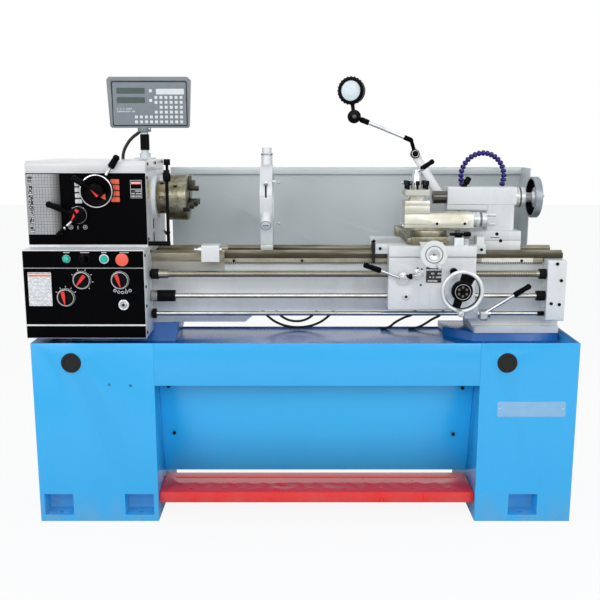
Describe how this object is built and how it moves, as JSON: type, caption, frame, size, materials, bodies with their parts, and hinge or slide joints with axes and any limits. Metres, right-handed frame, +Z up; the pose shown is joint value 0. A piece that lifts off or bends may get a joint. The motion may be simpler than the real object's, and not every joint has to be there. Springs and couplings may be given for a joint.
{
  "type": "engine lathe",
  "caption": "Engine lathe with geared head, jaw chuck, carriage with tool post, tailstock, steady rest, foot brake, digital readout and work lamp on a cabinet stand with a chip tray.",
  "frame": {"origin": "on the floor, in the middle of the four outer anchor bolts of the stand", "axes": "+X from the headstock to the tailstock along the spindle, +Y away from the operator, +Z up"},
  "size_m": [1.833, 0.575, 1.503],
  "materials": {
    "stand_blue": "gloss paint",
    "tray_blue": "gloss paint",
    "brake_red": "gloss paint",
    "casting_white": "satin paint over iron",
    "cover_white": "satin paint on sheet",
    "guard_grey": "satin paint",
    "ground_steel": "ground",
    "screw_steel": "oiled",
    "oiled_steel": "oiled",
    "post_steel": "oiled",
    "lever_chrome": "polished",
    "black_steel": "black satin",
    "black_plastic": "matte",
    "green_plastic": "gloss",
    "red_plastic": "gloss",
    "lamp_white": "gloss paint",
    "hose_purple": "satin",
    "readout_grey": "satin paint",
    "cable_grey": "matte"
  },
  "bodies": {
    "machine": {"left_cabinet": "stand_blue", "right_cabinet": "stand_blue", "chip_tray": "tray_blue", "kick_panel": "stand_blue", "bed": "casting_white", "gap_piece": "ground_steel", "rack": "ground_steel", "rod_bracket": "casting_white", "headstock": "casting_white", "headstock_cover": "casting_white", "gearbox": "casting_white", "end_cover": "cover_white", "splash_guard": "guard_grey", "readout_post": "guard_grey", "cables": "cable_grey"},
    "treadle": {"foot_brake": "brake_red"},
    "leadscrew": {"leadscrew": "screw_steel"},
    "feed_rod": {"feed_rod": "ground_steel"},
    "control_rod": {"control_rod": "ground_steel"},
    "carriage_stop": {"carriage_stop": "casting_white"},
    "spindle": {"spindle": "ground_steel", "chuck_body": "oiled_steel"},
    "jaw_1": {"jaw_1": "oiled_steel"},
    "jaw_2": {"jaw_2": "oiled_steel"},
    "jaw_3": {"jaw_3": "oiled_steel"},
    "guard_post": {"guard_post": "black_steel"},
    "speed_lever": {"speed_lever": "lever_chrome"},
    "range_lever": {"range_lever": "lever_chrome"},
    "thread_lever": {"thread_lever": "lever_chrome"},
    "reverse_lever": {"reverse_lever": "lever_chrome"},
    "dial_1": {"dial_1": "black_plastic"},
    "dial_2": {"dial_2": "black_plastic"},
    "dial_3": {"dial_3": "black_plastic"},
    "mode_switch": {"mode_switch": "black_plastic"},
    "start_button": {"start_button": "green_plastic"},
    "stop_button": {"stop_button": "red_plastic"},
    "steady": {"steady_frame": "casting_white"},
    "steady_top": {"steady_top": "casting_white"},
    "carriage": {"saddle": "casting_white", "apron": "casting_white", "coolant_hose": "hose_purple"},
    "carriage_wheel": {"carriage_wheel": "lever_chrome"},
    "apron_lever": {"apron_lever": "lever_chrome"},
    "control_lever": {"control_lever": "lever_chrome"},
    "saddle_lock": {"saddle_lock": "black_steel"},
    "cross_slide": {"cross_slide": "ground_steel"},
    "cross_wheel": {"cross_wheel": "lever_chrome"},
    "swivel_base": {"swivel_base": "ground_steel"},
    "top_slide": {"top_slide": "ground_steel"},
    "top_wheel": {"top_wheel": "lever_chrome"},
    "tool_post": {"tool_post": "post_steel"},
    "post_handle": {"post_handle": "lever_chrome"},
    "tailstock": {"tailstock": "casting_white"},
    "quill": {"quill": "ground_steel"},
    "tail_wheel": {"tail_wheel": "lever_chrome"},
    "quill_lock": {"quill_lock": "black_steel"},
    "lamp_lower_arm": {"lamp_lower_arm": "lamp_white"},
    "lamp_upper_arm": {"lamp_upper_arm": "lamp_white"},
    "lamp_head": {"lamp_head": "lamp_white"},
    "readout": {"readout_case": "readout_grey"}
  },
  "joints": [
    {"name": "treadle_pivot", "type": "hinge", "parent": "machine", "child": "treadle", "pos_m": [0, -0.032, 0.082], "axis": [1, 0, 0], "range_deg": [0, 8], "stiffness_Nm_per_rad": 60, "springref_deg": -20.05},
    {"name": "leadscrew_turn", "type": "hinge", "parent": "machine", "child": "leadscrew", "pos_m": [0, -0.045, 0.829], "axis": [1, 0, 0], "continuous": true},
    {"name": "feed_rod_turn", "type": "hinge", "parent": "machine", "child": "feed_rod", "pos_m": [0, -0.045, 0.753], "axis": [1, 0, 0], "continuous": true},
    {"name": "control_rod_turn", "type": "hinge", "parent": "machine", "child": "control_rod", "pos_m": [0, -0.045, 0.691], "axis": [1, 0, 0], "range_deg": [-12, 12]},
    {"name": "stop_slide", "type": "slide", "parent": "machine", "child": "carriage_stop", "axis": [1, 0, 0], "range_m": [-0.06, 0.2]},
    {"name": "spindle_turn", "type": "hinge", "parent": "machine", "child": "spindle", "pos_m": [0, 0.095, 1.081], "axis": [1, 0, 0], "continuous": true},
    {"name": "jaw_1_slide", "type": "slide", "parent": "spindle", "child": "jaw_1", "axis": [0, 0, 1], "range_m": [-0.016, 0.012]},
    {"name": "jaw_2_slide", "type": "slide", "parent": "spindle", "child": "jaw_2", "axis": [0, -0.866, -0.5], "range_m": [-0.01601, 0.01201]},
    {"name": "jaw_3_slide", "type": "slide", "parent": "spindle", "child": "jaw_3", "axis": [0, 0.866, -0.5], "range_m": [-0.01601, 0.01201]},
    {"name": "guard_pivot", "type": "hinge", "parent": "machine", "child": "guard_post", "pos_m": [-0.482, -0.056, 0.935], "axis": [1, 0, 0], "range_deg": [0, 75]},
    {"name": "speed_lever_turn", "type": "hinge", "parent": "machine", "child": "speed_lever", "pos_m": [-0.644, -0.07, 1.113], "axis": [0, 1, 0], "range_deg": [-20, 25]},
    {"name": "range_lever_turn", "type": "hinge", "parent": "machine", "child": "range_lever", "pos_m": [-0.644, -0.07, 1.113], "axis": [0, 1, 0], "range_deg": [-20, 28]},
    {"name": "thread_lever_turn", "type": "hinge", "parent": "machine", "child": "thread_lever", "pos_m": [-0.708, -0.07, 1.034], "axis": [0, 1, 0], "range_deg": [-22, 24]},
    {"name": "reverse_lever_turn", "type": "hinge", "parent": "machine", "child": "reverse_lever", "pos_m": [-0.708, -0.07, 1.034], "axis": [0, 1, 0], "range_deg": [-18, 20]},
    {"name": "dial_1_turn", "type": "hinge", "parent": "machine", "child": "dial_1", "pos_m": [-0.689, -0.15, 0.825], "axis": [0, 1, 0], "range_deg": [-90, 90]},
    {"name": "dial_2_turn", "type": "hinge", "parent": "machine", "child": "dial_2", "pos_m": [-0.744, -0.15, 0.767], "axis": [0, 1, 0], "range_deg": [-90, 90]},
    {"name": "dial_3_turn", "type": "hinge", "parent": "machine", "child": "dial_3", "pos_m": [-0.563, -0.15, 0.825], "axis": [0, 1, 0], "range_deg": [-90, 90]},
    {"name": "mode_switch_turn", "type": "hinge", "parent": "machine", "child": "mode_switch", "pos_m": [-0.677, -0.15, 0.896], "axis": [0, 1, 0], "range_deg": [-45, 45]},
    {"name": "start_press", "type": "slide", "parent": "machine", "child": "start_button", "axis": [0, 1, 0], "range_m": [0, 0.004], "stiffness_N_per_m": 400, "springref_m": -0.003},
    {"name": "stop_press", "type": "slide", "parent": "machine", "child": "stop_button", "axis": [0, 1, 0], "range_m": [0, 0.005], "stiffness_N_per_m": 500, "springref_m": -0.003},
    {"name": "steady_slide", "type": "slide", "parent": "machine", "child": "steady", "axis": [1, 0, 0], "range_m": [-0.1, 0.03]},
    {"name": "steady_hinge", "type": "hinge", "parent": "steady", "child": "steady_top", "pos_m": [-0.085, 0.225, 1.089], "axis": [1, 0, 0], "range_deg": [-60, 0]},
    {"name": "carriage_slide", "type": "slide", "parent": "machine", "child": "carriage", "axis": [1, 0, 0], "range_m": [-0.28, 0]},
    {"name": "carriage_wheel_turn", "type": "hinge", "parent": "carriage", "child": "carriage_wheel", "pos_m": [0.566, -0.156, 0.789], "axis": [0, 1, 0], "range_deg": [-4034, 1]},
    {"name": "apron_lever_turn", "type": "hinge", "parent": "carriage", "child": "apron_lever", "pos_m": [0.377, -0.09, 0.822], "axis": [0, 1, 0], "range_deg": [-20, 15]},
    {"name": "control_lever_turn", "type": "hinge", "parent": "carriage", "child": "control_lever", "pos_m": [0.664, -0.045, 0.691], "axis": [1, 0, 0], "range_deg": [-12.01, 12.01]},
    {"name": "saddle_lock_turn", "type": "hinge", "parent": "carriage", "child": "saddle_lock", "pos_m": [0.568, -0.05, 0.929], "axis": [0, 0, 1], "range_deg": [-25, 25]},
    {"name": "cross_slide_slide", "type": "slide", "parent": "carriage", "child": "cross_slide", "axis": [0, 1, 0], "range_m": [-0.025, 0.02]},
    {"name": "cross_wheel_turn", "type": "hinge", "parent": "carriage", "child": "cross_wheel", "pos_m": [0.465, -0.182, 0.915], "axis": [0, 1, 0], "range_deg": [-2252, 1802]},
    {"name": "swivel_turn", "type": "hinge", "parent": "cross_slide", "child": "swivel_base", "pos_m": [0.472, 0.003, 0.9575], "axis": [0, 0, 1], "range_deg": [-20, 4]},
    {"name": "top_slide_slide", "type": "slide", "parent": "swivel_base", "child": "top_slide", "axis": [1, 0, 0], "range_m": [-0.04, 0.01]},
    {"name": "top_wheel_turn", "type": "hinge", "parent": "top_slide", "child": "top_wheel", "pos_m": [0.62, 0.003, 1.0105], "axis": [-1, 0, 0], "range_deg": [-1202, 4802]},
    {"name": "tool_post_turn", "type": "hinge", "parent": "top_slide", "child": "tool_post", "pos_m": [0.428, 0.003, 1.0605], "axis": [0, 0, 1], "continuous": true},
    {"name": "post_handle_turn", "type": "hinge", "parent": "tool_post", "child": "post_handle", "pos_m": [0.428, 0.003, 1.1145], "axis": [0, 0, 1], "range_deg": [-60, 30]},
    {"name": "tailstock_slide", "type": "slide", "parent": "machine", "child": "tailstock", "axis": [1, 0, 0], "range_m": [0, 0.13]},
    {"name": "quill_slide", "type": "slide", "parent": "tailstock", "child": "quill", "axis": [1, 0, 0], "range_m": [-0.01001, 0.05501]},
    {"name": "tail_wheel_turn", "type": "hinge", "parent": "tailstock", "child": "tail_wheel", "pos_m": [0.787, 0.095, 1.081], "axis": [-1, 0, 0], "range_deg": [-4950, 900]},
    {"name": "quill_lock_turn", "type": "hinge", "parent": "tailstock", "child": "quill_lock", "pos_m": [0.609, 0.095, 1.118], "axis": [0, 0, 1], "range_deg": [-60, 60]},
    {"name": "lamp_base_turn", "type": "hinge", "parent": "carriage", "child": "lamp_lower_arm", "pos_m": [0.627, 0.237, 0.945], "axis": [0, 0, 1], "range_deg": [-10, 20]},
    {"name": "lamp_elbow", "type": "hinge", "parent": "lamp_lower_arm", "child": "lamp_upper_arm", "pos_m": [0.451, 0.237, 1.23], "axis": [0, 1, 0], "range_deg": [-10, 20]},
    {"name": "lamp_knuckle", "type": "hinge", "parent": "lamp_upper_arm", "child": "lamp_head", "pos_m": [0.226, 0.237, 1.362], "axis": [0, 1, 0], "range_deg": [-40, 40]},
    {"name": "readout_turn", "type": "hinge", "parent": "machine", "child": "readout", "pos_m": [-0.539, 0.25, 1.309], "axis": [0, 0, 1], "range_deg": [-40, 40]}
  ],
  "couplings": [
    {"joint": "jaw_2_slide", "follows": "jaw_1_slide", "ratio": 1},
    {"joint": "jaw_3_slide", "follows": "jaw_1_slide", "ratio": 1},
    {"joint": "carriage_wheel_turn", "follows": "carriage_slide", "rad_per_m": 251.33},
    {"joint": "control_lever_turn", "follows": "control_rod_turn", "ratio": 1},
    {"joint": "cross_wheel_turn", "follows": "cross_slide_slide", "rad_per_m": 1570.8},
    {"joint": "top_wheel_turn", "follows": "top_slide_slide", "rad_per_m": -2094.4},
    {"joint": "quill_slide", "follows": "tail_wheel_turn", "m_per_rad": -0.00063662}
  ]
}
